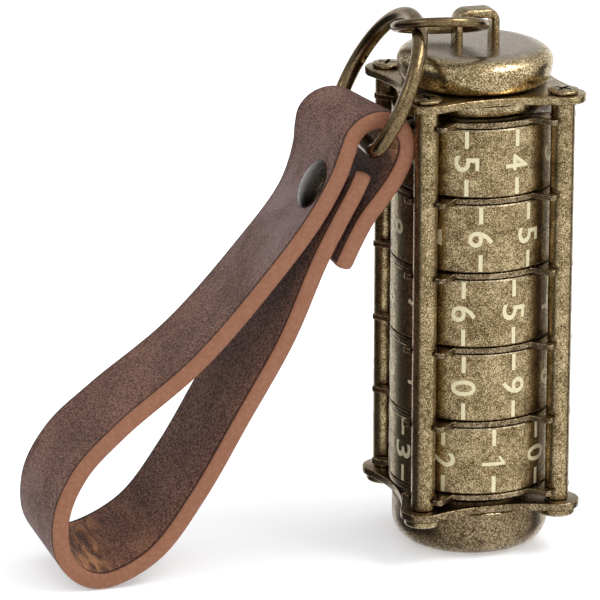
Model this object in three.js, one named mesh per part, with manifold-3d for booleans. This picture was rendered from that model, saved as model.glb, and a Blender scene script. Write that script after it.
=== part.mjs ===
// Pocket cryptex: five numbered dials turn on a slotted sleeve inside a four-post cage.
// With every gate in line, the knob draws a carrier with a memory stick out of the cage.
// A bail, a jump ring and a key ring join the knob to a riveted leather wrist strap.
// Millimetres, +Z up, origin at the centre of the foot's flat underside.

import * as THREE from "three";
import { mergeVertices } from "three/addons/utils/BufferGeometryUtils.js";
import Module from "manifold-3d";

const wasm = await Module();
wasm.setup();

// Driving dimensions
const DIAL_COUNT = 5;
const PITCH = 11.3; // from one dial to the next
const DIAL_RADIUS = 12.05;
const DIAL_HEIGHT = 10.25;
const DIAL_BORE = 10.4;
const DIAL_LIP = 0.35; // chamfer at both rims
const FIRST_DIAL_Z = 10.2; // underside of the lowest dial
const SEPARATOR_THICKNESS = 0.8;
const POST_CIRCLE = 14.5; // radius of the circle that the posts stand on
const POST_RADIUS = 1.75;
const CORNER_RADIUS = 3.3; // of a plate's corners
const PLATE_WAIST = 11.5; // from the axis to the middle of a plate's hollow side
const BOTTOM_PLATE_Z = 7.1;
const TOP_PLATE_Z = 68.85;
const PLATE_THICKNESS = 1.1;
const FOOT_RADIUS = 11.55;
const FOOT_FLAT_RADIUS = 8.5;
const FOOT_HEIGHT = 7;
const KNOB_RADIUS = 11.4;
const KNOB_FLAT_RADIUS = 7.7;
const KNOB_BASE_Z = 70.1;
const KNOB_TOP_Z = 75.4;
const SLEEVE_RADIUS = 7.7;
const SLEEVE_BORE = 6.95;
const CARRIER_RADIUS = 6.6;
const CARRIER_BORE = 5.7;
const GATE_WIDTH = 2.4; // of the sleeve's slot and of every gate
const GATE_REACH = 9.2; // how far from the axis a gate is cut
const PIN_RADIUS = 0.85;
const PIN_REACH = 8.9;
const PIN_Z = 5.4; // of a pin above its dial's underside, in the race below the flange
const FLANGE_Z = 7.2; // of a lock flange above its dial's underside
const FLANGE_THICKNESS = 2;
const COLLAR_RADIUS = 9.5;
const COLLAR_FLARE = 1.9; // of the collar under the top plate
const SCREW_HEAD_RADIUS = 2.25;
const SCREW_HEAD_HEIGHT = 0.6;
const DISC_SCREW_RADIUS = 2.7; // under the bottom plate
const SCREW_SHANK = 0.72;
const SCREW_LENGTH = 4;
const SCREW_BORE = 0.9; // through a plate, and in a post
const CAP_FLOOR = 1.7; // thickness of the foot's and the knob's floors
const KNOB_WAIST_Z = 73.1; // where the knob is widest
const KNOB_UNDERSIDE = 10.05;
const FOOT_SHOULDER = 3.7; // height of the foot's rounding
const EAR_HALF_WIDTH = 3.4; // of a separator's ears
const EAR_REACH = 15.1;
const BAIL_WIDTH = 6.7;
const BAIL_DEPTH = 3.2;
const BAIL_LEG = 1.15;
const BAIL_BAR = 1.4;
const BAIL_TOP_Z = 80.9;
const BAIL_TENON = 1.2; // how deep a leg stands in the knob
const BAIL_BEND = { outer: 1.5, inner: 0.4 };
const CARRIER_LIFT = 4.1; // of the carrier's lower end above the lowest dial's underside
const PLUG = { width: 12, depth: 4.5, bottom: 2.3, wall: 0.4 };
const TONGUE = { width: 10.8, depth: 1.5, recess: 0.8 };
const BOARD = { width: 9.6, depth: 1, height: 38, y: -1 };
const MEMORY_CHIP = { width: 8.6, depth: 1, height: 14, y: -2.6, rise: 27 };
const CONTROLLER_CHIP = { width: 6.4, depth: 0.9, height: 6.4, y: -2.6, rise: 9 };
const JUMP_RING = {
  radius: 6.47,
  wire: 0.7,
  centre: new THREE.Vector3(-5.978, -2.152, 78.88),
  normal: new THREE.Vector3(0.0622, 0.3205, 0.9452).normalize(),
};
const KEY_RING = {
  radius: 12.55,
  wire: 1.15,
  centre: new THREE.Vector3(-15.2, -0.105, 68.69),
  normal: new THREE.Vector3(0.8899, 0.0039, -0.4562).normalize(),
};
const RIVET = { share: 0.2145, head: 3.9, shank: 1.2, length: 9.1, washer: 3.4 };
const STRAP_WIDTH = 17.5;
const LEATHER = 2; // thickness of the strap
const STRAP_STEPS = 84;
const STRAP_LANES = [0, 5, STRAP_WIDTH]; // where the strap's facets divide across it
const STRAP_FRONT_Y = -8.75; // of the near edge where the loop stands
const STRAP_LEAN = -0.027; // how far the near edge moves per millimetre of height
const LOOP_TILT = THREE.MathUtils.degToRad(10); // rise of the far edge at the wrist loop
const LOOP_TILT_ENDS = [8, 40]; // heights between which that tilt fades out
const FOLD_YAW = THREE.MathUtils.degToRad(12); // turn of the far edge at the fold
const FOLD_YAW_STARTS = [58, 66]; // heights between which that turn grows
const TUCKED_CUT = 0.95; // share of the route where the tucked end's slanting cut begins
const TUCKED_LANES = [1, 0.53, 0.53]; // how much of that share each lane keeps
const GAP = 0.15; // between pieces that touch or are pressed together

// The route of the strap's near edge, seen from the front as [x, z], at mid thickness.
// It starts at the outer tab, passes over the key ring, runs down to the wrist loop,
// and comes back up to end between the other two layers.
const STRAP_ROUTE = [
  [-22.6, 46.9],
  [-21.4, 49.6],
  [-19.4, 53.2],
  [-17.4, 56.1],
  [-15.8, 58.9],
  [-14.9, 61.8],
  [-14.75, 63.5],
  [-15, 65.1],
  [-15.8, 66.5],
  [-17.3, 67.4],
  [-19.2, 67.1],
  [-21, 65.7],
  [-22.2, 63],
  [-23.45, 59.9],
  [-26.9, 53.8],
  [-33.3, 45.2],
  [-43.8, 33.6],
  [-55.5, 24.2],
  [-61.3, 18.3],
  [-64.1, 11.6],
  [-63.9, 5.6],
  [-61.6, 2.4],
  [-58.6, 1.15],
  [-55.4, 1.6],
  [-49.7, 5],
  [-43.7, 13.1],
  [-37.4, 24.4],
  [-30.9, 35.9],
  [-26, 47.2],
  [-22.9, 53.4],
  [-21, 56.9],
  [-19.4, 60.3],
];

// Places worked out from them
const DIAL_ROOM = PITCH - DIAL_HEIGHT;
const POST_OFFSET = POST_CIRCLE / Math.SQRT2;
const CORNERS = [1, 3, 5, 7].map((eighth) => (eighth * Math.PI) / 4);
const dialBase = (level) => FIRST_DIAL_Z + level * PITCH; // level 0 is the lowest dial
const CARRIER_BOTTOM = dialBase(0) + CARRIER_LIFT;
const PLUG_TOP = CARRIER_BOTTOM - 0.2;

const MATERIALS = {
  brass: new THREE.MeshStandardMaterial({ color: 0x8a7748, roughness: 0.38, metalness: 0.95 }),
  darkBrass: new THREE.MeshStandardMaterial({ color: 0x5c4d2e, roughness: 0.45, metalness: 0.9 }),
  leather: new THREE.MeshStandardMaterial({ color: 0x6a4538, roughness: 0.6, metalness: 0 }),
  bronze: new THREE.MeshStandardMaterial({ color: 0x3a342c, roughness: 0.4, metalness: 0.9 }),
  steel: new THREE.MeshStandardMaterial({ color: 0xb4b6b8, roughness: 0.3, metalness: 1 }),
  plastic: new THREE.MeshStandardMaterial({ color: 0x1d1f22, roughness: 0.6, metalness: 0 }),
  board: new THREE.MeshStandardMaterial({ color: 0x1f5a38, roughness: 0.55, metalness: 0 }),
};

// Solids and cuts

function solidOf(geometry) {
  const bare = geometry.clone();
  bare.deleteAttribute("normal");
  bare.deleteAttribute("uv");
  const merged = mergeVertices(bare, 1e-4);
  return new wasm.Manifold(
    new wasm.Mesh({
      numProp: 3,
      vertProperties: new Float32Array(merged.attributes.position.array),
      triVerts: new Uint32Array(merged.index.array),
    }),
  );
}

function geometryOf(solid) {
  const mesh = solid.getMesh();
  const geometry = new THREE.BufferGeometry();
  geometry.setAttribute("position", new THREE.BufferAttribute(mesh.vertProperties, 3));
  geometry.setIndex(new THREE.BufferAttribute(mesh.triVerts, 1));
  geometry.computeVertexNormals();
  return geometry;
}

function cut(geometry, ...tools) {
  let solid = solidOf(geometry);
  for (const tool of tools) solid = solid.subtract(solidOf(tool));
  return geometryOf(solid);
}

// Shapes

// A solid or a ring turned about Z, from [radius, height] pairs that run counter-clockwise.
function turned(profile, segments) {
  const points = profile.map(([radius, height]) => new THREE.Vector2(radius, height));
  const ring = profile.every(([radius]) => radius > 0);
  if (ring) points.push(points[0].clone());
  return new THREE.LatheGeometry(points, segments).rotateX(Math.PI / 2);
}

function tube(outer, inner, bottom, top, segments) {
  return turned([[inner, bottom], [outer, bottom], [outer, top], [inner, top]], segments);
}

function box(width, depth, height, x, y, z) {
  return new THREE.BoxGeometry(width, depth, height).translate(x, y, z);
}

function arc(x, y, radius, from, to, steps) {
  const points = [];
  for (let i = 0; i <= steps; i++) {
    const angle = from + ((to - from) * i) / steps;
    points.push(new THREE.Vector2(x + radius * Math.cos(angle), y + radius * Math.sin(angle)));
  }
  return points;
}

// A round hole whose flats stand at the radius.
function hole(x, y, radius, steps) {
  const reach = radius / Math.cos(Math.PI / steps);
  return new THREE.Path(arc(x, y, reach, 0, -2 * Math.PI, steps).slice(0, -1));
}

function slab(outline, holes, bottom, thickness) {
  const shape = new THREE.Shape(outline);
  shape.holes.push(...holes);
  const settings = { depth: thickness, bevelEnabled: false };
  return new THREE.ExtrudeGeometry(shape, settings).translate(0, 0, bottom);
}

// The channel that the lock pins run in, behind the axis, from one height to another.
function pinChannel(bottom, top) {
  const reach = GATE_REACH - 4;
  return box(GATE_WIDTH, reach, top - bottom, 0, 4 + reach / 2, (bottom + top) / 2);
}

// A quarter of an ellipse between two points of a profile; from and to are in radians.
function quarter(centre, reach, from, steps) {
  const points = [];
  for (let i = 0; i <= steps; i++) {
    const angle = from + (Math.PI / 2) * (i / steps);
    points.push([
      centre[0] + reach[0] * Math.cos(angle),
      centre[1] + reach[1] * Math.sin(angle),
    ]);
  }
  return points;
}

// Cage

function plateGeometry(bottom) {
  const reach = POST_OFFSET;
  const waistStep = PLATE_WAIST - reach;
  const hollow =
    (reach ** 2 + waistStep ** 2 - CORNER_RADIUS ** 2) / (2 * (CORNER_RADIUS - waistStep));
  const hollowCentre = PLATE_WAIST + hollow;
  const lean = Math.atan2(reach, hollowCentre - reach);
  const outline = [];
  for (let side = 0; side < 4; side++) {
    const turn = (side * Math.PI) / 2;
    const corner = turn + Math.PI / 4;
    const x = POST_CIRCLE * Math.cos(corner);
    const y = POST_CIRCLE * Math.sin(corner);
    outline.push(...arc(x, y, CORNER_RADIUS, turn - lean, turn + Math.PI / 2 + lean, 8));
    const middle = turn + Math.PI / 2;
    const hollowX = hollowCentre * Math.cos(middle);
    const hollowY = hollowCentre * Math.sin(middle);
    const start = middle + Math.PI;
    outline.push(...arc(hollowX, hollowY, hollow, start + lean, start - lean, 8).slice(1, -1));
  }
  const holes = CORNERS.map((angle) =>
    hole(POST_CIRCLE * Math.cos(angle), POST_CIRCLE * Math.sin(angle), SCREW_BORE, 10),
  );
  holes.push(hole(0, 0, SLEEVE_RADIUS + GAP, 28));
  return slab(outline, holes, bottom, PLATE_THICKNESS);
}

function postGeometry() {
  const bottom = BOTTOM_PLATE_Z + PLATE_THICKNESS + 0.1;
  const top = TOP_PLATE_Z - 0.1;
  const depth = SCREW_LENGTH - 0.6;
  const profile = [
    [0, bottom + depth],
    [SCREW_BORE, bottom + depth],
    [SCREW_BORE, bottom],
    [POST_RADIUS, bottom],
    [POST_RADIUS, top],
    [SCREW_BORE, top],
    [SCREW_BORE, top - depth],
    [0, top - depth],
  ];
  return turned(profile, 14);
}

// A flat head with a cross recess, and its shank.
function topScrewGeometry() {
  const seat = TOP_PLATE_Z + PLATE_THICKNESS + 0.1;
  const top = seat + SCREW_HEAD_HEIGHT;
  const profile = [
    [0, seat - SCREW_LENGTH],
    [SCREW_SHANK, seat - SCREW_LENGTH],
    [SCREW_SHANK, seat],
    [SCREW_HEAD_RADIUS, seat],
    [SCREW_HEAD_RADIUS, top - 0.25],
    [SCREW_HEAD_RADIUS - 0.5, top],
    [0, top],
  ];
  const slotLength = SCREW_HEAD_RADIUS + 0.25;
  const slotWidth = 0.5;
  const slotDepth = 0.4;
  const slotA = box(slotLength, slotWidth, 2 * slotDepth, 0, 0, top);
  const slotB = box(slotWidth, slotLength, 2 * slotDepth, 0, 0, top);
  return cut(turned(profile, 12), slotA, slotB);
}

function bottomScrewGeometry() {
  const seat = BOTTOM_PLATE_Z - 0.15;
  const headHeight = 1;
  const profile = [
    [0, seat - headHeight],
    [DISC_SCREW_RADIUS, seat - headHeight],
    [DISC_SCREW_RADIUS, seat],
    [SCREW_SHANK, seat],
    [SCREW_SHANK, seat + SCREW_LENGTH],
    [0, seat + SCREW_LENGTH],
  ];
  return turned(profile, 14);
}

// A thin disc with an ear towards each post, forked round the post.
function separatorGeometry(bottom) {
  const forkHalf = POST_RADIUS + 0.25;
  const root = Math.asin(EAR_HALF_WIDTH / DIAL_RADIUS);
  const outline = [];
  for (const corner of CORNERS) {
    const place = (along, across) =>
      new THREE.Vector2(
        along * Math.cos(corner) - across * Math.sin(corner),
        along * Math.sin(corner) + across * Math.cos(corner),
      );
    outline.push(place(DIAL_RADIUS * Math.cos(root), -EAR_HALF_WIDTH));
    outline.push(place(EAR_REACH - 0.5, -EAR_HALF_WIDTH));
    outline.push(place(EAR_REACH, -EAR_HALF_WIDTH + 0.5));
    outline.push(place(EAR_REACH, -forkHalf));
    for (let i = 0; i <= 6; i++) {
      const angle = -Math.PI / 2 - (Math.PI * i) / 6;
      outline.push(place(POST_CIRCLE + forkHalf * Math.cos(angle), forkHalf * Math.sin(angle)));
    }
    outline.push(place(EAR_REACH, forkHalf));
    outline.push(place(EAR_REACH, EAR_HALF_WIDTH - 0.5));
    outline.push(place(EAR_REACH - 0.5, EAR_HALF_WIDTH));
    const next = corner + Math.PI / 2;
    outline.push(...arc(0, 0, DIAL_RADIUS, corner + root, next - root, 6).slice(0, -1));
  }
  const sleeveHole = hole(0, 0, SLEEVE_RADIUS + GAP, 24);
  const disc = slab(outline, [sleeveHole], bottom, SEPARATOR_THICKNESS);
  return cut(disc, pinChannel(bottom - 1, bottom + 2));
}

function collarGeometry(bottom, top, flare) {
  const inner = SLEEVE_RADIUS + GAP + 0.1;
  const profile = [
    [inner, bottom],
    [COLLAR_RADIUS, bottom],
    [COLLAR_RADIUS + flare, top - 0.3],
    [COLLAR_RADIUS + flare, top],
    [inner, top],
  ];
  return turned(profile, 28);
}

function sleeveGeometry() {
  const bottom = 2;
  const top = TOP_PLATE_Z + PLATE_THICKNESS;
  const slotBottom = dialBase(0) + 3.4;
  return cut(
    tube(SLEEVE_RADIUS, SLEEVE_BORE, bottom, top, 28),
    pinChannel(slotBottom, top + 1),
  );
}

function footGeometry() {
  const cavity = SLEEVE_RADIUS + GAP;
  const round = FOOT_RADIUS - FOOT_FLAT_RADIUS;
  const profile = [
    [0, 0],
    ...quarter([FOOT_FLAT_RADIUS, FOOT_SHOULDER], [round, FOOT_SHOULDER], -Math.PI / 2, 5),
    [FOOT_RADIUS, FOOT_HEIGHT - 0.2],
    [FOOT_RADIUS - 0.2, FOOT_HEIGHT],
    [cavity, FOOT_HEIGHT],
    [cavity, CAP_FLOOR],
    [0, CAP_FLOOR],
  ];
  return turned(profile, 32);
}

// Dials

function dialGeometry() {
  const profile = [
    [DIAL_BORE, 0],
    [DIAL_RADIUS - DIAL_LIP, 0],
    [DIAL_RADIUS, DIAL_LIP],
    [DIAL_RADIUS, DIAL_HEIGHT - DIAL_LIP],
    [DIAL_RADIUS - DIAL_LIP, DIAL_HEIGHT],
    [DIAL_BORE, DIAL_HEIGHT],
  ];
  return turned(profile, 36);
}

function codeRingGeometry() {
  const top = FLANGE_Z + FLANGE_THICKNESS;
  const flange = tube(DIAL_BORE - 0.2, SLEEVE_RADIUS + 0.25, FLANGE_Z, top, 24);
  return cut(flange, pinChannel(FLANGE_Z - 1, top + 1));
}

// Core: knob, carrier, pins and memory stick

function knobGeometry() {
  const flare = [KNOB_RADIUS - KNOB_FLAT_RADIUS, KNOB_TOP_Z - KNOB_WAIST_Z];
  const belly = [KNOB_RADIUS - KNOB_UNDERSIDE, KNOB_WAIST_Z - KNOB_BASE_Z];
  const pocket = CARRIER_RADIUS + GAP;
  const pocketTop = KNOB_BASE_Z + CAP_FLOOR + 0.1;
  const profile = [
    [0, pocketTop],
    [pocket, pocketTop],
    [pocket, KNOB_BASE_Z],
    ...quarter([KNOB_UNDERSIDE, KNOB_WAIST_Z], belly, -Math.PI / 2, 4),
    ...quarter([KNOB_FLAT_RADIUS, KNOB_WAIST_Z], flare, 0, 5).slice(1),
    [0, KNOB_TOP_Z],
  ];
  const legX = (BAIL_WIDTH - BAIL_LEG) / 2;
  const mortise = (x) =>
    box(BAIL_LEG + 0.3, BAIL_DEPTH + 0.3, 2 * (BAIL_TENON + 0.15), x, 0, KNOB_TOP_Z);
  return cut(turned(profile, 32), mortise(-legX), mortise(legX));
}

// A flat strip bent to a staple, its two legs let into the knob.
function bailGeometry() {
  const half = BAIL_WIDTH / 2;
  const foot = KNOB_TOP_Z - BAIL_TENON;
  const { outer, inner } = BAIL_BEND;
  const legInside = half - BAIL_LEG;
  const barUnder = BAIL_TOP_Z - BAIL_BAR;
  const outline = [
    new THREE.Vector2(half, foot),
    ...arc(half - outer, BAIL_TOP_Z - outer, outer, 0, Math.PI / 2, 4),
    ...arc(outer - half, BAIL_TOP_Z - outer, outer, Math.PI / 2, Math.PI, 4),
    new THREE.Vector2(-half, foot),
    new THREE.Vector2(-legInside, foot),
    ...arc(inner - legInside, barUnder - inner, inner, Math.PI, Math.PI / 2, 2),
    ...arc(legInside - inner, barUnder - inner, inner, Math.PI / 2, 0, 2),
    new THREE.Vector2(legInside, foot),
  ];
  const settings = { depth: BAIL_DEPTH, bevelEnabled: false };
  const strip = new THREE.ExtrudeGeometry(new THREE.Shape(outline), settings);
  return strip.rotateX(Math.PI / 2).translate(0, BAIL_DEPTH / 2, 0);
}

function pinHeight(level) {
  return dialBase(level) + PIN_Z;
}

function carrierGeometry() {
  const tools = [];
  for (let level = 0; level < DIAL_COUNT; level++) {
    const bore = new THREE.CylinderGeometry(PIN_RADIUS + GAP, PIN_RADIUS + GAP, 4, 10);
    tools.push(bore.translate(0, CARRIER_RADIUS, pinHeight(level)));
  }
  return cut(tube(CARRIER_RADIUS, CARRIER_BORE, CARRIER_BOTTOM, KNOB_BASE_Z + 1.6, 24), ...tools);
}

// A pin that stands in the carrier's wall and reaches out through the sleeve's slot.
function pinGeometry() {
  const length = PIN_REACH - CARRIER_BORE;
  const pin = new THREE.CylinderGeometry(PIN_RADIUS, PIN_RADIUS, length, 10);
  return pin.translate(0, CARRIER_BORE + length / 2, 0);
}

function rectangle(width, depth) {
  const x = width / 2;
  const y = depth / 2;
  return [
    new THREE.Vector2(-x, -y),
    new THREE.Vector2(x, -y),
    new THREE.Vector2(x, y),
    new THREE.Vector2(-x, y),
  ];
}

function plugShellGeometry() {
  const opening = rectangle(PLUG.width - 2 * PLUG.wall, PLUG.depth - 2 * PLUG.wall);
  const holes = [new THREE.Path(opening.reverse())];
  return slab(rectangle(PLUG.width, PLUG.depth), holes, PLUG.bottom, PLUG_TOP - PLUG.bottom);
}

function plugTongueGeometry() {
  const bottom = PLUG.bottom + TONGUE.recess;
  const height = PLUG_TOP - 0.2 - bottom;
  const y = PLUG.depth / 2 - PLUG.wall - GAP - TONGUE.depth / 2;
  return box(TONGUE.width, TONGUE.depth, height, 0, y, bottom + height / 2);
}

function plugMountGeometry() {
  const radius = CARRIER_BORE - GAP;
  const bottom = CARRIER_BOTTOM + 0.1;
  const top = CARRIER_BOTTOM + 2;
  return turned([[0, bottom], [radius, bottom], [radius, top], [0, top]], 20);
}

// Rings

function wireRingGeometry(radius, wire, aroundSteps, sectionSteps) {
  return new THREE.TorusGeometry(radius, wire, sectionSteps, aroundSteps);
}

// Strap
const strapCurve = new THREE.CatmullRomCurve3(
  STRAP_ROUTE.map(([x, z]) => new THREE.Vector3(x, 0, z)),
  false,
  "centripetal",
);

// The direction across the strap at a height: tilted at the loop, turned at the fold.
function acrossAt(height) {
  const tilt = LOOP_TILT * (1 - THREE.MathUtils.smoothstep(height, ...LOOP_TILT_ENDS));
  const yaw = FOLD_YAW * THREE.MathUtils.smoothstep(height, ...FOLD_YAW_STARTS);
  return new THREE.Vector3(
    -Math.sin(yaw) * Math.cos(tilt),
    Math.cos(yaw) * Math.cos(tilt),
    Math.sin(tilt),
  );
}

// A point of the leather: share along the route, millimetres across and through it.
function strapPoint(share, across, through) {
  const point = strapCurve.getPointAt(share);
  const tangent = strapCurve.getTangentAt(share);
  const side = acrossAt(point.z);
  const outward = new THREE.Vector3().crossVectors(side, tangent).normalize();
  point.y = STRAP_FRONT_Y + STRAP_LEAN * point.z;
  return point.addScaledVector(side, across).addScaledVector(outward, through);
}

function strapGeometry() {
  const section = [];
  STRAP_LANES.forEach((across, lane) => section.push([lane, across, -LEATHER / 2]));
  for (let lane = STRAP_LANES.length - 1; lane >= 0; lane--) {
    section.push([lane, STRAP_LANES[lane], LEATHER / 2]);
  }
  const positions = [];
  for (let i = 0; i <= STRAP_STEPS; i++) {
    const share = i / STRAP_STEPS;
    for (const [lane, across, through] of section) {
      const past = Math.max(0, share - TUCKED_CUT);
      const laneShare = share - past * (1 - TUCKED_LANES[lane]);
      positions.push(...strapPoint(laneShare, across, through).toArray());
    }
  }
  const count = section.length;
  const triangles = [];
  for (let i = 0; i < STRAP_STEPS; i++) {
    for (let j = 0; j < count; j++) {
      const a = i * count + j;
      const b = i * count + ((j + 1) % count);
      triangles.push(a, b + count, b, a, a + count, b + count);
    }
  }
  const end = STRAP_STEPS * count;
  for (let j = 0; j < STRAP_LANES.length - 1; j++) {
    const quad = [j, j + 1, count - 2 - j, count - 1 - j];
    for (const [a, b, c] of [[0, 1, 2], [0, 2, 3]]) {
      triangles.push(quad[a], quad[b], quad[c]);
      triangles.push(end + quad[a], end + quad[c], end + quad[b]);
    }
  }
  const geometry = new THREE.BufferGeometry();
  geometry.setAttribute("position", new THREE.Float32BufferAttribute(positions, 3));
  geometry.setIndex(triangles);
  geometry.computeVertexNormals();
  return geometry;
}

// The rivet goes through all three layers, below the fold.
function rivetFrame() {
  const outer = strapPoint(RIVET.share, STRAP_WIDTH / 2, 0);
  const skin = strapPoint(RIVET.share, STRAP_WIDTH / 2, LEATHER / 2);
  const axis = skin.clone().sub(outer).normalize();
  const turn = new THREE.Quaternion().setFromUnitVectors(new THREE.Vector3(0, 0, 1), axis);
  return { origin: outer, turn };
}

function alongRivet(geometry) {
  const { origin, turn } = rivetFrame();
  return geometry.applyQuaternion(turn).translate(origin.x, origin.y, origin.z);
}

function rivetCapGeometry() {
  const face = LEATHER / 2 + 0.6;
  const profile = [
    [0, -RIVET.length],
    [RIVET.shank, -RIVET.length],
    [RIVET.shank, face],
    [RIVET.head, face],
    [RIVET.head, face + 0.35],
    [RIVET.head * 0.75, face + 0.8],
    [0, face + 1.05],
  ];
  return alongRivet(turned(profile, 20));
}

function rivetWasherGeometry() {
  const bottom = 0.2 - RIVET.length;
  return alongRivet(tube(RIVET.washer, RIVET.shank + GAP, bottom, bottom + 0.6, 20));
}

function rivetHoleGeometry() {
  const radius = RIVET.shank + 0.25;
  const bottom = -RIVET.length - 2;
  return alongRivet(turned([[0, bottom], [radius, bottom], [radius, 3], [0, 3]], 12));
}

// Assembly

const cryptex = new THREE.Group();
const cage = new THREE.Group();
const dials = new THREE.Group();
const core = new THREE.Group();
const chain = new THREE.Group();
const strap = new THREE.Group();
cryptex.add(cage, dials, core, chain, strap);

function addPiece(group, name, geometry, material) {
  const mesh = new THREE.Mesh(geometry, material);
  mesh.name = name;
  group.add(mesh);
  return mesh;
}

function buildCage() {
  const { brass, darkBrass } = MATERIALS;
  const topPlate = cut(
    plateGeometry(TOP_PLATE_Z),
    pinChannel(TOP_PLATE_Z - 1, TOP_PLATE_Z + 2),
  );
  addPiece(cage, "top_plate", topPlate, brass);
  addPiece(cage, "bottom_plate", plateGeometry(BOTTOM_PLATE_Z), brass);
  const corner = { post: postGeometry(), top: topScrewGeometry(), bottom: bottomScrewGeometry() };
  CORNERS.forEach((angle, i) => {
    const place = [POST_CIRCLE * Math.cos(angle), POST_CIRCLE * Math.sin(angle), 0];
    addPiece(cage, `post_${i + 1}`, corner.post, brass).position.set(...place);
    addPiece(cage, `top_screw_${i + 1}`, corner.top, brass).position.set(...place);
    addPiece(cage, `bottom_screw_${i + 1}`, corner.bottom, brass).position.set(...place);
  });
  const under = (DIAL_ROOM + SEPARATOR_THICKNESS) / 2;
  for (let i = 0; i <= DIAL_COUNT; i++) {
    const disc = separatorGeometry(dialBase(i) - under);
    addPiece(cage, `separator_${i + 1}`, disc, darkBrass);
  }
  const lowCollar = collarGeometry(BOTTOM_PLATE_Z + PLATE_THICKNESS + 0.1, dialBase(0) - 1, 0);
  const highCollarBottom = dialBase(DIAL_COUNT) + 0.1;
  const highCollar = collarGeometry(highCollarBottom, TOP_PLATE_Z - 0.1, COLLAR_FLARE);
  const channel = pinChannel(highCollarBottom - 1, TOP_PLATE_Z);
  addPiece(cage, "bottom_collar", lowCollar, darkBrass);
  addPiece(cage, "top_collar", cut(highCollar, channel), darkBrass);
  addPiece(cage, "inner_sleeve", sleeveGeometry(), brass);
  addPiece(cage, "bottom_cap", footGeometry(), brass);
}

function buildDials() {
  const dial = dialGeometry();
  const codeRing = codeRingGeometry();
  for (let level = 0; level < DIAL_COUNT; level++) {
    const place = [0, 0, dialBase(level)];
    addPiece(dials, `dial_ring_${level + 1}`, dial, MATERIALS.brass).position.set(...place);
    addPiece(dials, `code_ring_${level + 1}`, codeRing, MATERIALS.brass).position.set(...place);
  }
}

function buildCore() {
  addPiece(core, "core_cap", knobGeometry(), MATERIALS.brass);
  addPiece(core, "bail", bailGeometry(), MATERIALS.brass);
  addPiece(core, "carrier_tube", carrierGeometry(), MATERIALS.brass);
  const pin = pinGeometry();
  for (let level = 0; level < DIAL_COUNT; level++) {
    const mesh = addPiece(core, `lock_pin_${level + 1}`, pin, MATERIALS.steel);
    mesh.position.set(0, 0, pinHeight(level));
  }
  addPiece(core, "plug_mount", plugMountGeometry(), MATERIALS.plastic);
  addPiece(core, "plug_shell", plugShellGeometry(), MATERIALS.steel);
  addPiece(core, "plug_tongue", plugTongueGeometry(), MATERIALS.plastic);
  const boardBottom = CARRIER_BOTTOM + 2.3;
  const onBoard = (size, rise) =>
    box(size.width, size.depth, size.height, 0, size.y, boardBottom + rise);
  const board = onBoard(BOARD, BOARD.height / 2);
  addPiece(core, "circuit_board", board, MATERIALS.board);
  const chip = onBoard(MEMORY_CHIP, MEMORY_CHIP.rise);
  addPiece(core, "memory_chip", chip, MATERIALS.plastic);
  const controller = onBoard(CONTROLLER_CHIP, CONTROLLER_CHIP.rise);
  addPiece(core, "controller_chip", controller, MATERIALS.plastic);
}

function buildChain() {
  for (const [name, ring, around, section] of [
    ["jump_ring", JUMP_RING, 28, 8],
    ["key_ring", KEY_RING, 40, 8],
  ]) {
    const geometry = wireRingGeometry(ring.radius, ring.wire, around, section);
    const mesh = addPiece(chain, name, geometry, MATERIALS.brass);
    mesh.position.copy(ring.centre);
    mesh.quaternion.setFromUnitVectors(new THREE.Vector3(0, 0, 1), ring.normal);
  }
}

function buildStrap() {
  const leather = cut(strapGeometry(), rivetHoleGeometry());
  addPiece(strap, "wrist_strap", leather, MATERIALS.leather);
  addPiece(strap, "rivet_cap", rivetCapGeometry(), MATERIALS.bronze);
  addPiece(strap, "rivet_washer", rivetWasherGeometry(), MATERIALS.bronze);
}

buildCage();
buildDials();
buildCore();
buildChain();
buildStrap();

export default cryptex;
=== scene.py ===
"""Visual model of a pocket cryptex with its ring chain and leather wrist strap.

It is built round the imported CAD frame. Lengths are millimetres until a mesh is made. A noise
scale counts features in a metre.
"""

import math

import bmesh
import bpy
import numpy as np
from mathutils import Matrix, Quaternion, Vector


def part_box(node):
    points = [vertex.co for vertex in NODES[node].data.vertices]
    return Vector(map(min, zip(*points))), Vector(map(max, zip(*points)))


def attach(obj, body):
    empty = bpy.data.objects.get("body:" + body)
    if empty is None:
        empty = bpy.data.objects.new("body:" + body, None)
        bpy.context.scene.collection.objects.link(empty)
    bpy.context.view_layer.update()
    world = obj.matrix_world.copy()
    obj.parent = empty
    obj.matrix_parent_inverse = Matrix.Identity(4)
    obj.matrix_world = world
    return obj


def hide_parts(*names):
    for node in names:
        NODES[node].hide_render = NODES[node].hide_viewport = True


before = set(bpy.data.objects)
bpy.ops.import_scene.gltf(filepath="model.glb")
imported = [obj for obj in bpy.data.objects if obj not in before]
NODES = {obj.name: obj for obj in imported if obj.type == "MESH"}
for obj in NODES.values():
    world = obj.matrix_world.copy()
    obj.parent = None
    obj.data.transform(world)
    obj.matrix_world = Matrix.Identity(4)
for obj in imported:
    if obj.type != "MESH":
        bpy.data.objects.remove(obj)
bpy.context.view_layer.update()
MM = 0.001
TAU = 2 * math.pi

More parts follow.
